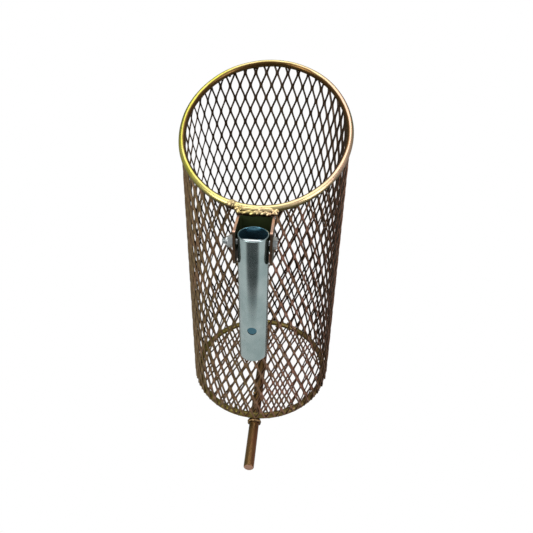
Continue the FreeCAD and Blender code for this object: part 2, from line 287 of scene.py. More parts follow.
def put(tree, kind, settings=None, **inputs):
    """A node with its settings, and its inputs by name (spaces as _) or as i0, i1 for unnamed ones: a value
    is set and a socket is linked."""
    made = tree.nodes.new(kind)
    for key, value in (settings or {}).items():
        setattr(made, key, value)
    for key, value in inputs.items():
        number = key[1:].isdigit() and key[0] == "i"
        socket = made.inputs[int(key[1:])] if number else made.inputs[key.replace("_", " ")]
        if isinstance(value, bpy.types.NodeSocket):
            tree.links.new(value, socket)
        else:
            socket.default_value = value
    return made


def maths(tree, operation, a, b=0.0):
    return put(tree, "ShaderNodeMath", {"operation": operation}, i0=a, i1=b).outputs[0]


def scaled(tree, vector, by):
    """A vector times another, axis by axis."""
    return put(tree, "ShaderNodeVectorMath", {"operation": "MULTIPLY"}, i0=vector, i1=by).outputs[0]


def along_axis(tree, vector, axis):
    """One number of a vector: 0, 1 or 2 for x, y or z."""
    return put(tree, "ShaderNodeSeparateXYZ", i0=vector).outputs[axis]


def mark(tree, label):
    """The number that marked() gave each vertex."""
    return put(tree, "ShaderNodeAttribute", {"attribute_name": label}).outputs["Fac"]


def blended(tree, share, first, second):
    """Two colours mixed by a share."""
    return put(tree, "ShaderNodeMix", {"data_type": "RGBA"}, i0=share, i6=first, i7=second).outputs[2]


def ranged(tree, value, low, high, to_low=0.0, to_high=1.0):
    """A value carried smoothly from one range to another, held at its ends."""
    return put(tree, "ShaderNodeMapRange", {"interpolation_type": "SMOOTHSTEP"}, Value=value, From_Min=low,
               From_Max=high, To_Min=to_low, To_Max=to_high).outputs[0]


def noise(tree, vector, scale, detail=2.0, rough=0.5):
    return put(tree, "ShaderNodeTexNoise", Vector=vector, Scale=scale, Detail=detail,
               Roughness=rough).outputs[0]


def linear(level):
    """A screen level, 0 to 255, as the linear value that a shader takes."""
    return level / 255 / 12.92 if level <= 10 else ((level / 255 + 0.055) / 1.055) ** 2.4


def rgb(r, g, b):
    """A colour given as it looks on a screen."""
    return linear(r), linear(g), linear(b), 1


def build_passivate():
    """Colour of yellow-passivated zinc: olive on one side, through gold to a copper pink on the other, with
    slow patches, and painted shade that darkens it wherever the surface looks down."""
    tree, given, out = group("Passivated Zinc", [
        ("Place", "NodeSocketVector", None),
        ("Facing", "NodeSocketVector", None),
        ("Olive", "NodeSocketColor", rgb(150, 140, 50)),
        ("Gold", "NodeSocketColor", rgb(220, 190, 120)),
        ("Copper", "NodeSocketColor", rgb(200, 140, 115)),
        ("Under", "NodeSocketColor", rgb(60, 38, 22)),
        ("Span", "NodeSocketFloat", 0.09),
        ("Patches", "NodeSocketFloat", 0.35),
        ("Under From", "NodeSocketFloat", -0.15),
        ("Under To", "NodeSocketFloat", 0.5)],
        [("Color", "NodeSocketColor")])
    place = given.outputs["Place"]
    up = along_axis(tree, given.outputs["Facing"], 2)
    patch = noise(tree, place, 28.0, 3.0, 0.55)
    swing = maths(tree, "MULTIPLY", maths(tree, "SUBTRACT", patch, 0.5), given.outputs["Patches"])
    across = maths(tree, "DIVIDE", along_axis(tree, place, 0), given.outputs["Span"])
    side = maths(tree, "ADD", maths(tree, "ADD", maths(tree, "MULTIPLY", across, 0.5), 0.5),
                 maths(tree, "MULTIPLY", swing, 2.0))
    tone = blended(tree, ranged(tree, side, 0.0, 0.55), given.outputs["Olive"], given.outputs["Gold"])
    tone = blended(tree, ranged(tree, side, 0.5, 1.0), tone, given.outputs["Copper"])
    # painted shade: the colour turns to the given dark tone wherever the surface looks down
    under = ranged(tree, up, given.outputs["Under From"], given.outputs["Under To"], 1.0, 0.0)
    tree.links.new(blended(tree, under, tone, given.outputs["Under"]), out.inputs["Color"])
    return tree


def build_surface_wear():
    """Height and roughness of a barrel-plated surface: a fine orange peel, specks, and long drawing lines
    along one direction, given by the Lines vector scale."""
    tree, given, out = group("Plated Surface", [
        ("Place", "NodeSocketVector", None),
        ("Lines", "NodeSocketVector", (40.0, 40.0, 900.0)),
        ("Peel Scale", "NodeSocketFloat", 900.0),
        ("Line Amount", "NodeSocketFloat", 0.3),
        ("Rough Low", "NodeSocketFloat", 0.25),
        ("Rough High", "NodeSocketFloat", 0.45)],
        [("Height", "NodeSocketFloat"), ("Roughness", "NodeSocketFloat"), ("Specks", "NodeSocketFloat")])
    place = given.outputs["Place"]
    peel = noise(tree, place, given.outputs["Peel Scale"], 2.0)
    lines = noise(tree, scaled(tree, place, given.outputs["Lines"]), 1.0, 2.0)
    height = maths(tree, "ADD", peel, maths(tree, "MULTIPLY", lines, given.outputs["Line Amount"]))
    slow = noise(tree, place, 90.0, 4.0, 0.65)
    rough = put(tree, "ShaderNodeMapRange", Value=slow, From_Min=0.3, From_Max=0.7,
                To_Min=given.outputs["Rough Low"], To_Max=given.outputs["Rough High"]).outputs[0]
    specks = ranged(tree, noise(tree, place, 420.0, 1.0), 0.66, 0.74)
    tree.links.new(height, out.inputs["Height"])
    tree.links.new(rough, out.inputs["Roughness"])
    tree.links.new(specks, out.inputs["Specks"])
    return tree


PASSIVATE = build_passivate()
WEAR = build_surface_wear()


# ---- materials ----
BUMP = 0.0003              # depth that a full step of a finish's height stands for


def started(name, metallic, roughness=0.4):
    """A material with its Principled shader, and the object's coordinates and normals."""
    material = bpy.data.materials.new(name)
    material.use_nodes = True
    tree = material.node_tree
    shader = tree.nodes["Principled BSDF"]
    shader.inputs["Metallic"].default_value = metallic
    shader.inputs["Roughness"].default_value = roughness
    where = tree.nodes.new("ShaderNodeTexCoord")
    return material, tree, shader, where.outputs["Object"], where.outputs["Normal"]


def use(tree, kind, **inputs):
    return put(tree, "ShaderNodeGroup", {"node_tree": kind}, **inputs)


def finished(tree, shader, tone, wear, strength=0.0, depth=BUMP):
    """The colour, and the roughness and height of the wear group, linked to the shader."""
    tree.links.new(tone, shader.inputs["Base Color"])
    tree.links.new(wear.outputs["Roughness"], shader.inputs["Roughness"])
    if strength:
        bump = put(tree, "ShaderNodeBump", Height=wear.outputs["Height"], Strength=strength,
                   Distance=depth)
        tree.links.new(bump.outputs[0], shader.inputs["Normal"])


def passivated(name, metallic, lines=(40.0, 40.0, 40.0), end=None, **tones):
    """Yellow zinc on a bar, with another tone on its end faces if one is given."""
    material, tree, shader, place, facing = started(name, metallic)
    colour = use(tree, PASSIVATE, Place=place, Facing=facing, **tones)
    wear = use(tree, WEAR, Place=place, Lines=lines, Rough_Low=0.24, Rough_High=0.42)
    specks = maths(tree, "MULTIPLY", wear.outputs["Specks"], 0.5)
    tone = blended(tree, specks, colour.outputs["Color"], rgb(70, 48, 24))
    if end:
        square_on = maths(tree, "ABSOLUTE", along_axis(tree, facing, 1))
        tone = blended(tree, ranged(tree, square_on, 0.6, 0.95), tone, end)
    finished(tree, shader, tone, wear, 0.15)
    return material


def make_ring_finish():
    """Yellow zinc on the mouth ring: bright yellow, gold and pink round its outer side, a green rim at
    the back, and painted shade, brown, on the side that faces in, marked by the inner attribute."""
    material, tree, shader, place, facing = started("passivated_ring", 0.85)
    # painted shade: a darker tone where the ring looks down
    colour = use(tree, PASSIVATE, Place=place, Facing=facing, Span=0.095, Patches=0.4, Under_To=0.4,
                 Olive=rgb(196, 190, 78), Gold=rgb(226, 208, 146), Copper=rgb(226, 186, 158),
                 Under=rgb(92, 82, 40))
    waver = maths(tree, "MULTIPLY", noise(tree, place, 60.0), 0.16)
    inward = maths(tree, "ADD", mark(tree, "inner"), waver)
    y = along_axis(tree, place, 1)
    # painted shade: brown on the side of the bar that faces in, a narrower band at the back
    painted_shade_reach = maths(tree, "SUBTRACT", inward, ranged(tree, y, 0.02, 0.12, 0.0, 0.32))
    tone = blended(tree, ranged(tree, painted_shade_reach, 0.52, 0.70), colour.outputs["Color"], rgb(104, 76, 38))
    rim = maths(tree, "MULTIPLY", ranged(tree, inward, 0.52, 0.36), ranged(tree, y, 0.0, 0.08))
    tone = blended(tree, rim, tone, rgb(118, 120, 62))
    wear = use(tree, WEAR, Place=place, Rough_Low=0.2, Rough_High=0.36)
    finished(tree, shader, tone, wear, 0.12)
    return material


def make_plate_finish():
    """Yellow zinc on the bent bracket: dark green on the broad faces, a painted copper-pink highlight on
    the faces that look up, the ears' top edges among them, and brown on their front ends."""
    material, tree, shader, place, facing = started("passivated_plate", 0.75)
    # painted shade: a darker tone where the bracket looks down
    colour = use(tree, PASSIVATE, Place=place, Facing=facing, Span=0.05, Patches=0.6,
                 Olive=rgb(112, 136, 88), Gold=rgb(106, 128, 78), Copper=rgb(112, 116, 76),
                 Under=rgb(52, 48, 30))
    reach = put(tree, "ShaderNodeVectorMath", {"operation": "DOT_PRODUCT"}, i0=place,
                i1=(0.0, math.cos(LEAN), -math.sin(LEAN))).outputs["Value"]
    at_end = ranged(tree, reach, EAR_END + 0.0016, EAR_END + 0.0004)
    tone = blended(tree, at_end, colour.outputs["Color"], rgb(112, 90, 72))
    # painted highlight: copper pink on every face that looks up, such as the ears' top edges
    tone = blended(tree, ranged(tree, along_axis(tree, facing, 2), 0.45, 0.8), tone, rgb(222, 180, 154))
    wear = use(tree, WEAR, Place=place, Rough_Low=0.28, Rough_High=0.46)
    finished(tree, shader, tone, wear, 0.15)
    return material


def make_mesh_finish():
    """Yellow zinc on the expanded mesh: dark brown strands, copper and olive on the outer faces, with a
    painted highlight that brings them out at the bonds, and painted shade, almost black, on the inner faces
    and sides. The strands carry how near they are to a bond and to their outer face."""
    material, tree, shader, place, facing = started("expanded_mesh_zinc", 0.55)
    # painted shade: a darker tone where the strands look down
    colour = use(tree, PASSIVATE, Place=place, Facing=facing, Patches=1.0, Span=0.1,
                 Olive=rgb(140, 118, 80), Gold=rgb(156, 120, 90), Copper=rgb(178, 126, 106),
                 Under=rgb(70, 48, 30), Under_From=-0.9, Under_To=-0.1)
    # painted shade: the near-black tone of the strands' inner faces and sides
    inner = blended(tree, noise(tree, place, 160.0, 2.0), rgb(38, 26, 13), rgb(78, 55, 32))
    # painted highlight: the outer faces brighten towards the bonds
    bond_highlight = ranged(tree, mark(tree, "knuckle"), 0.0, 1.0, 0.5, 1.0)
    face = blended(tree, bond_highlight, rgb(92, 68, 46), colour.outputs["Color"])
    tone = blended(tree, ranged(tree, mark(tree, "outer"), 0.5, 0.98), inner, face)
    wear = use(tree, WEAR, Place=place, Rough_Low=0.34, Rough_High=0.55)
    finished(tree, shader, tone, wear, 0.2)
    return material


def make_tube_finish():
    """Clear zinc on drawn tube: grey silver with fine lines along the tube, cloudy patches, scuffs near
    the lower end, and painted shade in the bore, a darker blue, marked by the bore attribute."""
    material, tree, shader, place, _ = started("clear_zinc_tube", 0.9)
    wear = use(tree, WEAR, Place=place, Lines=(900.0, 900.0, 14.0), Line_Amount=1.2, Peel_Scale=400.0,
               Rough_Low=0.13, Rough_High=0.21)
    cloud = noise(tree, place, 45.0, 4.0, 0.6)
    tone = blended(tree, ranged(tree, cloud, 0.3, 0.7), rgb(172, 193, 193), rgb(198, 215, 215))
    streaks = noise(tree, scaled(tree, place, (500.0, 500.0, 60.0)), 1.0, 3.0, 0.7)
    low = ranged(tree, along_axis(tree, place, 2), PIVOT.z - 0.09, PIVOT.z - 0.14, 0.12, 0.75)
    scuffs = maths(tree, "MULTIPLY", ranged(tree, streaks, 0.62, 0.70), low)
    tone = blended(tree, scuffs, tone, rgb(104, 116, 112))
    # painted shade: the bore darker and bluer than the outside
    tone = blended(tree, mark(tree, "bore"), tone, rgb(92, 138, 156))
    finished(tree, shader, tone, wear, 0.025, 0.0002)
    return material


def make_fastener_finish():
    """Bright zinc on the bolt and the nut."""
    material, tree, shader, place, _ = started("bright_zinc_fastener", 0.95)
    wear = use(tree, WEAR, Place=place, Rough_Low=0.22, Rough_High=0.34, Line_Amount=0.1)
    tone = blended(tree, noise(tree, place, 220.0, 3.0), rgb(168, 176, 178), rgb(222, 226, 226))
    finished(tree, shader, tone, wear, 0.1, 0.0002)
    return material


def make_insert_finish():
    """Milky nylon."""
    material, tree, shader, place, _ = started("nylon_insert", 0.0)
    wear = use(tree, WEAR, Place=place, Rough_Low=0.4, Rough_High=0.55)
    tone = blended(tree, noise(tree, place, 300.0, 2.0), rgb(196, 204, 206), rgb(226, 230, 230))
    finished(tree, shader, tone, wear)
    return material


def make_weld_finish(name, olive, gold, copper):
    """Passivated weld metal: olive, gold and copper tones, painted shade, brown, wherever the surface looks
    down, and patches of soot.
    """
    material, tree, shader, place, facing = started(name, 0.85)
    # painted shade: brown wherever the weld looks down
    colour = use(tree, PASSIVATE, Place=place, Facing=facing, Patches=1.2, Span=0.08, Olive=olive,
                 Gold=gold, Copper=copper, Under=rgb(56, 36, 20))
    wear = use(tree, WEAR, Place=place, Peel_Scale=500.0, Rough_Low=0.22, Rough_High=0.44)
    soot = ranged(tree, noise(tree, place, 170.0, 3.0, 0.6), 0.52, 0.70, 0.0, 0.6)
    tone = blended(tree, soot, colour.outputs["Color"], rgb(74, 50, 26))
    finished(tree, shader, tone, wear, 0.35, 0.0004)
    return material


mesh_finish = make_mesh_finish()
ring_finish = make_ring_finish()
# painted shade on the base ring: its given dark tone wherever it looks down
base_ring_finish = passivated("passivated_base_ring", 0.6, Olive=rgb(128, 114, 50),
                              Gold=rgb(132, 114, 58), Copper=rgb(122, 96, 60), Under=rgb(60, 48, 22),
                              Under_From=-0.8, Under_To=0.1)
plate_finish = make_plate_finish()
# painted shade on the rod: its given dark tone wherever it looks down
rod_finish = passivated("passivated_rod", 0.75, lines=(500.0, 12.0, 500.0), end=rgb(196, 152, 128),
                        Olive=rgb(90, 80, 36), Gold=rgb(128, 96, 56), Copper=rgb(124, 76, 50),
                        Under=rgb(56, 40, 24), Span=0.009, Patches=0.5, Under_From=-0.9, Under_To=-0.2)
weld_finish = make_weld_finish("passivated_weld", rgb(204, 188, 100), rgb(242, 216, 160),
                               rgb(232, 188, 156))
dull_weld_finish = make_weld_finish("dull_weld", rgb(118, 104, 52), rgb(150, 122, 80), rgb(146, 110, 84))
tube_finish = make_tube_finish()
fastener_finish = make_fastener_finish()
insert_finish = make_insert_finish()


# ---- expanded mesh ----
def strands(numbers, rows, middle, place, outside):
    """Strands of raised expanded metal. Strand n runs the long way of the mesh between bond columns n and
    n + 1, and swings to one and to the other in turn: its middle is half way between the columns plus a
    zigzag that rests at each bond. Its flat section is tilted out of the sheet, so the two strands of a
    bond lie in one plane, a little to either side of the bond's middle. Each section is carried to its
    place, and the strand ends where outside() turns positive."""
    level = (np.arange(rows[0], rows[1])[:, None] + STRAND_STEPS).ravel()
    share = level - np.floor(level)
    slope = np.clip((share - BOND) / (1 - 2 * BOND), 0, 1)
    slope = 0.6 * slope + 0.4 * slope * slope * (3 - 2 * slope)
    zigzag = np.where(np.floor(level) % 2 == 0, 1, -1) * (1 - 2 * slope)
    near_bond = np.clip(1 - np.minimum(share, 1 - share) / 0.3, 0, 1)
    wide, thick = STRAND_WIDE / 2 * (1 + 0.06 * near_bond), STRAND_THICK / 2
    step = STRAND_WIDE / 2 * BOND_SPREAD
    side_step = step * math.cos(STRAND_TILT) / (CELL_WIDE / 2)
    out_step = step * math.sin(STRAND_TILT)
    tilt = STRAND_TILT + math.radians(8) * np.sin(np.pi * share)
    parts, knuckles, outers = [], [], []
    for n in numbers:
        wave = zigzag if n % 2 == 0 else -zigzag
        across = (n + 0.5 + (0.5 - side_step) * wave) * CELL_WIDE / 2
        out = -out_step * wave
        corners = []
        for w, t in ((-1, -1), (1, -1), (1, 1), (-1, 1)):
            s = across + w * wide * np.cos(tilt) - t * thick * np.sin(tilt)
            o = out + w * wide * np.sin(tilt) + t * thick * np.cos(tilt)
            corners.append(place(s, middle - level * CELL_LONG / 2, o))
        section = np.stack(corners, 1)
        gap = outside(section)
        kept = np.flatnonzero(gap.mean(1) < 0)
        if len(kept) < 4:
            continue
        first, last = kept[0], kept[-1]
        section, gap = section[first - 1:last + 2].copy(), gap[first - 1:last + 2]
        for end, inner in ((0, 1), (-1, -2)):
            reach = np.clip(gap[inner] / (gap[inner] - gap[end]), 0.03, 1)
            section[end] = section[inner] + (section[end] - section[inner]) * reach[:, None]
        parts.append(skin(section, start=section[0].mean(0), end=section[-1].mean(0)))
        near = near_bond[first - 1:last + 2]
        knuckles.append(np.append(np.repeat(near, 4), [near[0], near[-1]]))
        outers.append(np.append(np.tile([0.0, 0.0, 1.0, 1.0], len(near)), [0.5, 0.5]))
    return joined(parts), np.concatenate(knuckles), np.concatenate(outers)


def mesh_piece(name, made, node):
    shape, knuckle, outer = made
    result = piece(name, shape, mesh_finish, "basket", node, place=leant)
    marked(result, "knuckle", knuckle)
    marked(result, "outer", outer)


def on_cylinder(across, up, out):
    """Rolled: the way across the sheet becomes an angle about the axis, the way out becomes radius."""
    turn = FIRST_COLUMN - across / MESH_R
    return np.stack([(MESH_R + out) * np.cos(turn), (MESH_R + out) * np.sin(turn), up], -1)


def beyond_wall(points):
    """How far points are above the mouth ring's underside or below the base plane."""
    over = points[..., 2] - MOUTH_HEIGHT - points[..., 1] * math.tan(MOUTH_SLANT)
    over = over * math.cos(MOUTH_SLANT) + RING_R * 0.8
    below = points[..., 1] * math.tan(LEAN) - points[..., 2]
    return np.maximum(over, below * math.cos(LEAN))


FLOOR_UP = (SHEET / 2 - WALL_RISE) / math.cos(LEAN)


def on_floor(across, along, out):
    """Flat on the base plane, with the long way of the cells from front to back."""
    y = along * math.cos(LEAN) - out * math.sin(LEAN)
    return np.stack([across, y, along * math.sin(LEAN) + out * math.cos(LEAN) + FLOOR_UP], -1)


def beyond_floor(points):
    return np.hypot(points[..., 0], points[..., 1]) - FLOOR_R


wall = strands(range(2 * CELLS), (-1, 28), FIRST_ROW, on_cylinder, beyond_wall)
mesh_piece("mesh_wall", wall, "wall_mesh")
half_floor = math.ceil(MESH_R / (CELL_WIDE / 2)) + 1
floor_rows = math.ceil(MESH_R / (CELL_LONG / 2)) + 2
floor_strands = strands(range(-half_floor, half_floor), (-floor_rows, floor_rows), 0.0, on_floor,
                        beyond_floor)
mesh_piece("mesh_floor", floor_strands, "bottom_mesh")


# ---- rings ----
def ellipse_frame(centre, slant, semi_x, semi_y):
    """A function from angle to the points of an ellipse that slopes up to the back."""
    back = np.array([0.0, math.cos(slant), math.sin(slant)])

    def at(turn):
        turn = np.asarray(turn)[..., None]
        return np.asarray(centre) + X_AXIS * semi_x * np.cos(turn) + back * semi_y * np.sin(turn)

    return at


mouth_at = ellipse_frame((0, 0, MOUTH_HEIGHT), MOUTH_SLANT, MESH_R, MESH_R / math.cos(MOUTH_SLANT))
base_up = SHEET - WALL_RISE + RING_R
base_at = ellipse_frame((0, 0, base_up / math.cos(LEAN)), LEAN, BASE_RING_R, BASE_RING_R / math.cos(LEAN))


def bent_ring(at, wobble, seed):
    """Round bar bent to the ellipse, out of true by two or three slow waves and swollen a little where a
    bender gripped it."""
    draw = np.random.default_rng(seed)
    turn = np.linspace(0, 2 * np.pi, 360, endpoint=False)
    off = sum(draw.uniform(0.3, 1) * np.sin(k * turn + draw.uniform(0, 6)) for k in (2, 3, 5, 9)) / 2
    path = at(turn)
    middle = path.mean(0)
    path = path + unit(path - middle) * wobble * off[:, None]
    radius = RING_R * (1 + 0.012 * np.sin(17 * turn + 1.0) * np.sin(3 * turn))
    return swept(path, radius, sides=24, loop=True)


mouth_shape = bent_ring(mouth_at, 0.0004, 3)
mouth_bar = piece("mouth_bar_ring", mouth_shape, ring_finish, "basket", "mouth_ring",
                  place=leant)
from_axis = np.hypot(mouth_shape[0][:, 0], mouth_shape[0][:, 1])
marked(mouth_bar, "inner", (MESH_R + RING_R - from_axis) / (2 * RING_R))
base_shape = bent_ring(base_at, 0.0003, 5)
piece("base_bar_ring", base_shape, base_ring_finish, "basket", "base_ring", place=leant)


# ---- welds ----
def rippled_bead(points, radius, pitch, slant, seed, depth=0.2, sides=24):
    """A run of weld: a round section carried along a line, with a crescent for each drop of metal. The
    radius follows a saw tooth of the way along plus a slant times the cosine of the angle round, and falls
    to nothing at the ends."""
    draw = np.random.default_rng(seed)
    points = np.asarray(points, float)
    knots = np.concatenate([[0], np.cumsum(np.linalg.norm(np.diff(points, axis=0), axis=1))])
    steps = int(knots[-1] / 0.0003)
    along = np.linspace(0, knots[-1], steps)
    path = np.stack([np.interp(along, knots, points[:, k]) for k in range(3)], -1)
    turn = np.linspace(0, 2 * np.pi, sides, endpoint=False)
    uneven = 0.18 * np.sin(along / knots[-1] * 9 + draw.uniform(0, 6))
    phase = (along / pitch + uneven)[:, None] + slant * np.cos(turn + draw.uniform(0, 1))[None, :]
    tooth = phase % 1.0
    ripple = np.sin(np.pi * tooth ** 0.6) ** 0.8
    ends = np.clip(1 - np.abs(2 * along / knots[-1] - 1) ** 7, 0, 1) ** 0.5
    swell = 1 + 0.06 * np.sin(along / pitch * 2.2 + draw.uniform(0, 6))
    size = radius * (ends * swell)[:, None] * (1 - depth + depth * ripple)
    return swept(path, np.maximum(size, radius * 0.02), sides=sides)


def weld(name, shape, node, finish=weld_finish, place=leant):
    piece(name, shape, finish, "basket", node, sharp=60, place=place)


BEAD_HALF = 0.0165         # middle plane to the end of the lower run
BEAD_UP = BRACKET_TOP + 0.003
BEAD_WAVER = 0.0003
bead_x = np.linspace(-BEAD_HALF, BEAD_HALF, 12)
still = 0 * bead_x
bead_wave = BEAD_UP - 0.0002 + BEAD_WAVER * np.sin(bead_x * 420)
bead_low = np.stack([bead_x, BEAD_LINE_Y - 0.0004 + still, bead_wave], -1)
bead_high = np.stack([bead_x * 1.12, BEAD_LINE_Y + 0.0014 + still, BEAD_UP + 0.0026 + still], -1)
lower_run = rippled_bead(bead_low, 0.0035, pitch=0.0062, slant=0.55, seed=11, depth=0.30)
upper_run = rippled_bead(bead_high, 0.0034, pitch=0.0110, slant=0.35, seed=12, depth=0.10)
weld("bracket_bead", joined([lower_run, upper_run]), "bracket_weld")

# lumps at a corner of the bracket: how far outwards, back and up, radius, seed and flattening
CORNER_X = 0.0182
CORNER_LUMPS = (((0.0, 0.0, 0.0), 0.0040, 21, 0.85),
                ((0.0022, 0.001, 0.0022), 0.0030, 25, 0.8),
                ((-0.0030, -0.0004, 0.0026), 0.0028, 29, 1.0))
corner_lumps = []
for k, side in enumerate((-1, 1)):
    corner = np.array([side * CORNER_X, BEAD_LINE_Y + 0.0012, BEAD_UP + 0.0002])
    for off, radius, seed, flat in CORNER_LUMPS:
        corner_lumps.append(blob(corner + np.array(off) * (side, 1, 1), radius, seed + k, flat=flat))
weld("bracket_corner_lumps", joined(corner_lumps), "bracket_corner_welds")

MOUTH_JOINT, MOUTH_JOINT_HALF = math.radians(-106), 0.055     # where round the ring, and how far each way
joint_turns = np.linspace(MOUTH_JOINT - MOUTH_JOINT_HALF, MOUTH_JOINT + MOUTH_JOINT_HALF, 12)
joint_run = rippled_bead(mouth_at(joint_turns), 0.0050, pitch=0.0034, slant=0.2, seed=14, depth=0.16)
joint_lump = blob(mouth_at(MOUTH_JOINT) + np.array([0.001, -0.0022, 0.0022]), 0.0030, 33)
weld("mouth_joint_bead", joined([joint_run, joint_lump]), "mouth_ring_joint_weld")
BASE_JOINT, BASE_JOINT_HALF = math.radians(60), 0.04
base_turns = np.linspace(BASE_JOINT - BASE_JOINT_HALF, BASE_JOINT + BASE_JOINT_HALF, 12)
base_joint_bead = rippled_bead(base_at(base_turns), 0.0047, pitch=0.003, slant=0.2, seed=15, depth=0.15)
weld("base_joint_bead", base_joint_bead, "base_ring_joint_weld")


TACKS = 15                 # round each ring


def tack_lumps(at, up, out, first, seed, size):
    """Small lumps of weld spaced round a ring from a first angle in degrees, set off it upwards and
    outwards."""
    draw = np.random.default_rng(seed)
    parts = []
    for k in range(TACKS):
        turn = math.radians(first + 360.0 * k / TACKS + draw.uniform(-2.5, 2.5))
        point = at(turn)
        radial = unit(np.array([point[0], point[1], 0.0]))
        centre = point + radial * out + Z_AXIS * up
        parts.append(blob(centre, size * draw.uniform(0.85, 1.2), seed + k, flat=0.7, axis=radial))
    return joined(parts)


mouth_tacks = tack_lumps(mouth_at, up=-0.0038, out=-0.0006, first=6.0, seed=40, size=0.0021)
base_tacks = tack_lumps(base_at, up=0.0034, out=0.0030, first=18.0, seed=60, size=0.0020)
floor_tacks = tack_lumps(base_at, up=-0.0036, out=-0.0034, first=6.0, seed=80, size=0.0020)
weld("mouth_tacks", mouth_tacks, "mouth_tack_welds", dull_weld_finish)
weld("base_tacks", base_tacks, "base_tack_welds", dull_weld_finish)
weld("floor_tacks", floor_tacks, "floor_tack_welds", dull_weld_finish)

SEAM_TACKS, SEAM_FIRST, SEAM_PITCH = 6, 0.030, 0.042
seam = [blob((0.0004 * (k % 2), -MESH_R + 0.0010, SEAM_FIRST + SEAM_PITCH * k), 0.0021, 100 + k, flat=0.7,
             axis=np.array([0, 1.0, 0])) for k in range(SEAM_TACKS)]
weld("seam_tacks", joined(seam), "wall_seam_welds", dull_weld_finish)


# ---- tail rod ----
rod_low, rod_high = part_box("tail_rod")
ROD_CHAMFER = 0.0009
rod_outline = rounded([(0, rod_low.y), (ROD_R - ROD_CHAMFER, rod_low.y), (ROD_R, rod_low.y + ROD_CHAMFER),
                       (ROD_R, rod_high.y - ROD_CHAMFER), (ROD_R - ROD_CHAMFER, rod_high.y),
                       (0, rod_high.y)], 0.0005, 3, closed=False)[1:-1]


def along_rod(points):
    """The turning axis laid along Y, half a rod above the ground."""
    return np.stack([points[:, 1], points[:, 0], points[:, 2] + ROD_R], -1)


piece("tail_bar", turned(rod_outline, 96, closed=False), rod_finish, "basket", "tail_rod",
      place=along_rod, sharp=25)


ROD_BEAD_R = 0.0026


def rod_bead(y, seed):
    """A lumpy bead over the rod, from low on one side to low on the other."""
    turn = np.radians(np.linspace(-28, 208, 40))
    reach = ROD_R + 0.0004
    path = np.stack([reach * np.cos(turn), y + 0.0006 * np.sin(3 * turn), ROD_R + reach * np.sin(turn)], -1)
    return rippled_bead(path, ROD_BEAD_R, pitch=0.0044, slant=0.3, seed=seed, depth=0.26)


ROD_LUMPS = ((-0.0052, 0.0), (0.0050, 0.0), (0.0002, 0.0012))     # over the front bead: sideways, upwards
for name, node, seed in (("rod_bead_front", "rod_weld_front", 17), ("rod_bead_back", "rod_weld_back", 18)):
    low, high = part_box(node)
    middle_y = (low.y + high.y) / 2
    shape = [rod_bead(middle_y, seed)]
    if node == "rod_weld_front":
        for k, (x, lift) in enumerate(ROD_LUMPS):
            at = (x, middle_y - 0.0004, 2 * ROD_R - 0.0006 + lift)
            shape.append(blob(at, 0.0029, 110 + k, flat=0.8))
    weld(name, joined(shape), node, dull_weld_finish, place=None)


# ---- pole socket ----
def socket_tube():
    """The tube's wall section turned about its axis: outside, lip, narrow neck above the pole's seat, seat,
    lip. The pivot holes and the cross-pin holes are then bored through it."""
    low = TUBE_TOP - TUBE_LENGTH
    neck = TUBE_R - TUBE_WALL
    shoulder = low + SEAT_DEPTH
    outline = rounded([(TUBE_R, low), (TUBE_R, TUBE_TOP), (neck, TUBE_TOP), (neck, shoulder + 0.0006),
                       (SEAT_R, shoulder), (SEAT_R, low)], 0.00055, 5)
    verts, quads, tris = turned(outline, 160)
    upright = np.stack([verts[:, 1], verts[:, 2], verts[:, 0]], -1)
    tube = piece("socket_tube", (upright, quads, tris), tube_finish, "socket", "pole_socket",
                 sharp=30)
    bores = []
    for radius, height, from_front in ((PIVOT_HOLE_R, 0.0, False), (PIN_HOLE_R, low + PIN_HOLE_UP, True)):
        reach = TUBE_R * 1.6
        v, q, t = turned([(radius, -reach), (radius, reach)], 48, closed=False)
        if from_front:
            v = np.stack([v[:, 1], v[:, 0], v[:, 2]], -1)
            q, t = q[:, ::-1], t[:, ::-1]
        mesh = bpy.data.meshes.new("bore")
        mesh.from_pydata(v + np.array([0, 0, height]), [], q.tolist() + t.tolist())
        bore = bpy.data.objects.new("bore", mesh)
        bpy.context.scene.collection.objects.link(bore)
        cut = tube.modifiers.new("bore", "BOOLEAN")
        cut.operation, cut.object, cut.solver = "DIFFERENCE", bore, "EXACT"
        bores.append(bore)
    graph = bpy.context.evaluated_depsgraph_get()
    cut_mesh = bpy.data.meshes.new_from_object(tube.evaluated_get(graph))
    tube.modifiers.clear()
    tube.data = cut_mesh
    for bore in bores:
        bpy.data.objects.remove(bore)
    count = len(cut_mesh.vertices)
    flat = np.zeros(count * 3, np.float32)
    cut_mesh.vertices.foreach_get("co", flat)
    marked(tube, "bore", np.hypot(*flat.reshape(-1, 3)[:, :2].T) < TUBE_R - 0.4 * TUBE_WALL)
    cut_mesh.vertices.foreach_set("co", about_pivot(flat.reshape(-1, 3)).astype(np.float32).ravel())
    cut_mesh.set_sharp_from_angle(angle=math.radians(30))


socket_tube()


# ---- pivot bolt, lock nut and its nylon ring ----
def pivot_bolt():
    """Shank turned about X with a rolled thread at its far end, and a hexagon head with its corners turned
    off and a shallow dish in the top."""
    steps = np.linspace(-BOLT_REACH + 0.0006, -THREAD_START + THREAD_PITCH, 150)
    shank = [(BOLT_R * 0.72, -BOLT_REACH)] + [(BOLT_R, h) for h in steps]
    shank += [(BOLT_R, EAR_FACE + 0.0002)]
    base = EAR_FACE
    top = EAR_FACE + HEAD_HEIGHT
    head = rounded([(HEX_CORNER * 0.90, base), (HEX_PAST, base + 0.0004),
                    (HEX_PAST, top - 0.0009), (HEX_FLAT * 0.93, top),
                    (HEX_FLAT * 0.55, top - 0.0002), (0.0002, top - 0.0003)], 0.0003, 4, closed=False)
    return joined([turned(shank, 48, thread=True, closed=False),
                   turned(head, 96, hexed=True, closed=False)])


piece("pivot_screw", pivot_bolt(), fastener_finish, "basket", "pivot_bolt",
      place=on_bolt, sharp=28)

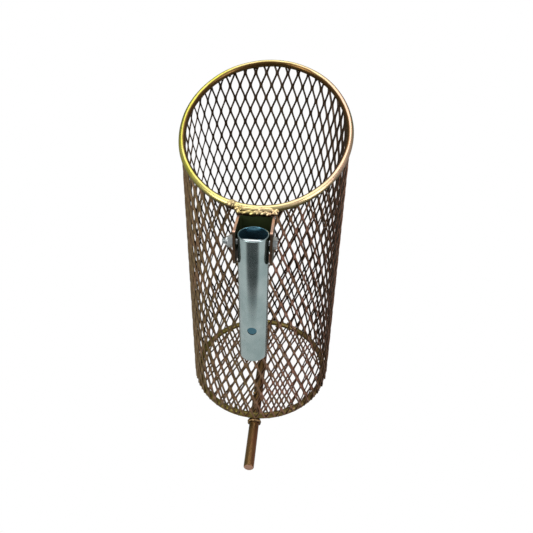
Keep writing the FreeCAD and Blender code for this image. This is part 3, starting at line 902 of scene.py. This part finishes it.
NUT_PLAY = 0.00003         # all round the bolt
bore_r = BOLT_R + NUT_PLAY
nut_out = [(bore_r, 0), (HEX_CORNER * 0.88, 0), (HEX_PAST, 0.0007),
           (HEX_PAST, NUT_HEX_HEIGHT - 0.0007), (HEX_FLAT * 0.96, NUT_HEX_HEIGHT),
           (NUT_COLLAR_R, NUT_HEX_HEIGHT + 0.0002), (NUT_COLLAR_R, NUT_HEIGHT - 0.0002),
           (NUT_COLLAR_R - 0.0007, NUT_HEIGHT), (INSERT_R - 0.0005, NUT_HEIGHT - 0.0003),
           (INSERT_R - 0.0006, NUT_HEIGHT - 0.0006), (bore_r, NUT_HEIGHT - 0.0008)]
nut_outline = [(r, -EAR_FACE - h) for r, h in rounded(nut_out, 0.0003, 4)]
piece("locking_nut", turned(nut_outline, 96, hexed=True), fastener_finish, "basket", "lock_nut",
      place=on_bolt, sharp=28)
insert_outline = [(r, -EAR_FACE - h) for r, h in rounded(
    [(bore_r, NUT_HEIGHT - 0.0022), (INSERT_R - 0.0007, NUT_HEIGHT - 0.0022),
     (INSERT_R - 0.0007, NUT_HEIGHT - 0.0002), (bore_r, NUT_HEIGHT - 0.0002)], 0.0003, 3)]
piece("nylon_ring", turned(insert_outline, 64), insert_finish, "basket", "nut_insert",
      place=on_bolt)

# ---- bracket: its CAD shape is right, so it only takes its finish ----
bracket = frame["nodes"]["bracket"]
bracket.data.materials.clear()
bracket.data.materials.append(plate_finish)


# ---- camera, light and floor ----
VIEW_TURN, VIEW_RISE, VIEW_ROLL = math.radians(4.689), math.radians(28.7875), math.radians(1.1722)
VIEW_DISTANCE, VIEW_HEIGHT = 0.63245, 0.16337
SENSOR = 36.0
FIELD = 0.90106            # focal length, as a share of the frame's width
SHIFT = 0.00624
ROOM_STRENGTH = 0.42
LIGHT_AIM = Vector((0, 0, 0.2))
WHITE, BLACK = (1, 1, 1, 1), (0, 0, 0, 1)
FLOOR_GREY = (0.56, 0.56, 0.55, 1)
FLOOR_HALF = 6


def make_camera():
    """Set up about the mesh cylinder's axis, then leant back with it."""
    back = Vector((math.sin(VIEW_TURN) * math.cos(VIEW_RISE), -math.cos(VIEW_TURN) * math.cos(VIEW_RISE),
                   math.sin(VIEW_RISE)))
    right = (-back).cross(Vector((0, 0, 1))).normalized()
    up = right.cross(-back)
    right, up = (right * math.cos(VIEW_ROLL) + up * math.sin(VIEW_ROLL),
                 up * math.cos(VIEW_ROLL) - right * math.sin(VIEW_ROLL))
    at = Vector((0, 0, VIEW_HEIGHT)) + back * VIEW_DISTANCE
    tilt = Matrix.Rotation(-LEAN, 4, "X")
    turn = Matrix((right, up, back)).transposed().to_4x4()
    data = bpy.data.cameras.new("view")
    data.sensor_width = SENSOR
    data.lens = SENSOR * FIELD
    data.shift_x = SHIFT
    data.clip_start, data.clip_end = 0.02, 50
    camera = bpy.data.objects.new("view", data)
    bpy.context.scene.collection.objects.link(camera)
    foot = Matrix.Translation((0, AXIS_Y, 2 * ROD_R + WALL_RISE))
    camera.matrix_world = foot @ tilt @ Matrix.Translation(at) @ turn
    bpy.context.scene.camera = camera


def area_light(name, at, size, power, tint=(1, 1, 1)):
    """A soft rectangle of light that looks at the middle of the part."""
    data = bpy.data.lights.new(name, "AREA")
    data.shape, data.size, data.size_y = "RECTANGLE", size[0], size[1]
    data.energy, data.color = power, tint
    lamp = bpy.data.objects.new(name, data)
    lamp.location = at
    lamp.rotation_euler = (LIGHT_AIM - Vector(at)).to_track_quat("-Z", "Y").to_euler()
    bpy.context.scene.collection.objects.link(lamp)


def make_world():
    """A white room: pure white where the camera looks past the object, softer where it lights it."""
    world = bpy.data.worlds.new("studio")
    bpy.context.scene.world = world
    world.use_nodes = True
    tree = world.node_tree
    tree.nodes.clear()
    seen = put(tree, "ShaderNodeLightPath").outputs["Is Camera Ray"]
    bright = put(tree, "ShaderNodeBackground", Color=WHITE, Strength=1.0)
    where = put(tree, "ShaderNodeTexCoord").outputs["Generated"]
    rise = along_axis(tree, where, 2)
    tone = blended(tree, ranged(tree, rise, -0.2, 0.8), (0.45, 0.45, 0.44, 1), (0.9, 0.92, 0.95, 1))
    soft = put(tree, "ShaderNodeBackground", Color=tone, Strength=ROOM_STRENGTH)
    both = put(tree, "ShaderNodeMixShader", i0=seen, i1=soft.outputs[0], i2=bright.outputs[0])
    out = tree.nodes.new("ShaderNodeOutputWorld")
    tree.links.new(both.outputs[0], out.inputs[0])


def make_floor():
    """A plain white floor under the rod. The camera sees it white; what it gives the metal is a mid grey
    that darkens away in front, where the tube's face looks."""
    mesh = bpy.data.meshes.new("floor")
    corners = [(x * FLOOR_HALF, y * FLOOR_HALF, 0) for x, y in ((-1, -1), (1, -1), (1, 1), (-1, 1))]
    mesh.from_pydata(corners, [], [(0, 1, 2, 3)])
    floor = bpy.data.objects.new("floor", mesh)
    bpy.context.scene.collection.objects.link(floor)
    floor.location.z = -0.0002
    material, tree, shader, place, _ = started("floor_white", 0.0, 0.9)
    ahead = maths(tree, "MULTIPLY", along_axis(tree, place, 1), -1.0)
    off_side = maths(tree, "ABSOLUTE", along_axis(tree, place, 0))
    sideways = maths(tree, "DIVIDE", off_side, maths(tree, "ABSOLUTE", ahead))
    dark = maths(tree, "MULTIPLY", ranged(tree, ahead, 0.32, 0.56), ranged(tree, sideways, 1.1, 0.5))
    tone = blended(tree, dark, FLOOR_GREY, BLACK)
    tree.links.new(tone, shader.inputs["Base Color"])
    seen = put(tree, "ShaderNodeLightPath").outputs["Is Camera Ray"]
    white = put(tree, "ShaderNodeEmission", Color=WHITE, Strength=1.0)
    both = put(tree, "ShaderNodeMixShader", i0=seen, i1=shader.outputs[0], i2=white.outputs[0])
    tree.links.new(both.outputs[0], tree.nodes["Material Output"].inputs["Surface"])
    mesh.materials.append(material)


make_camera()
make_world()
make_floor()
area_light("key_left", (-0.9, -0.9, 1.1), (0.5, 1.1), 9, (1.0, 0.99, 0.96))
area_light("fill_right", (1.1, -0.6, 0.9), (0.5, 1.1), 7, (0.97, 0.99, 1.0))
area_light("top", (0, 0.3, 1.6), (1.2, 1.2), 9)
bpy.context.scene.view_settings.view_transform = "Standard"
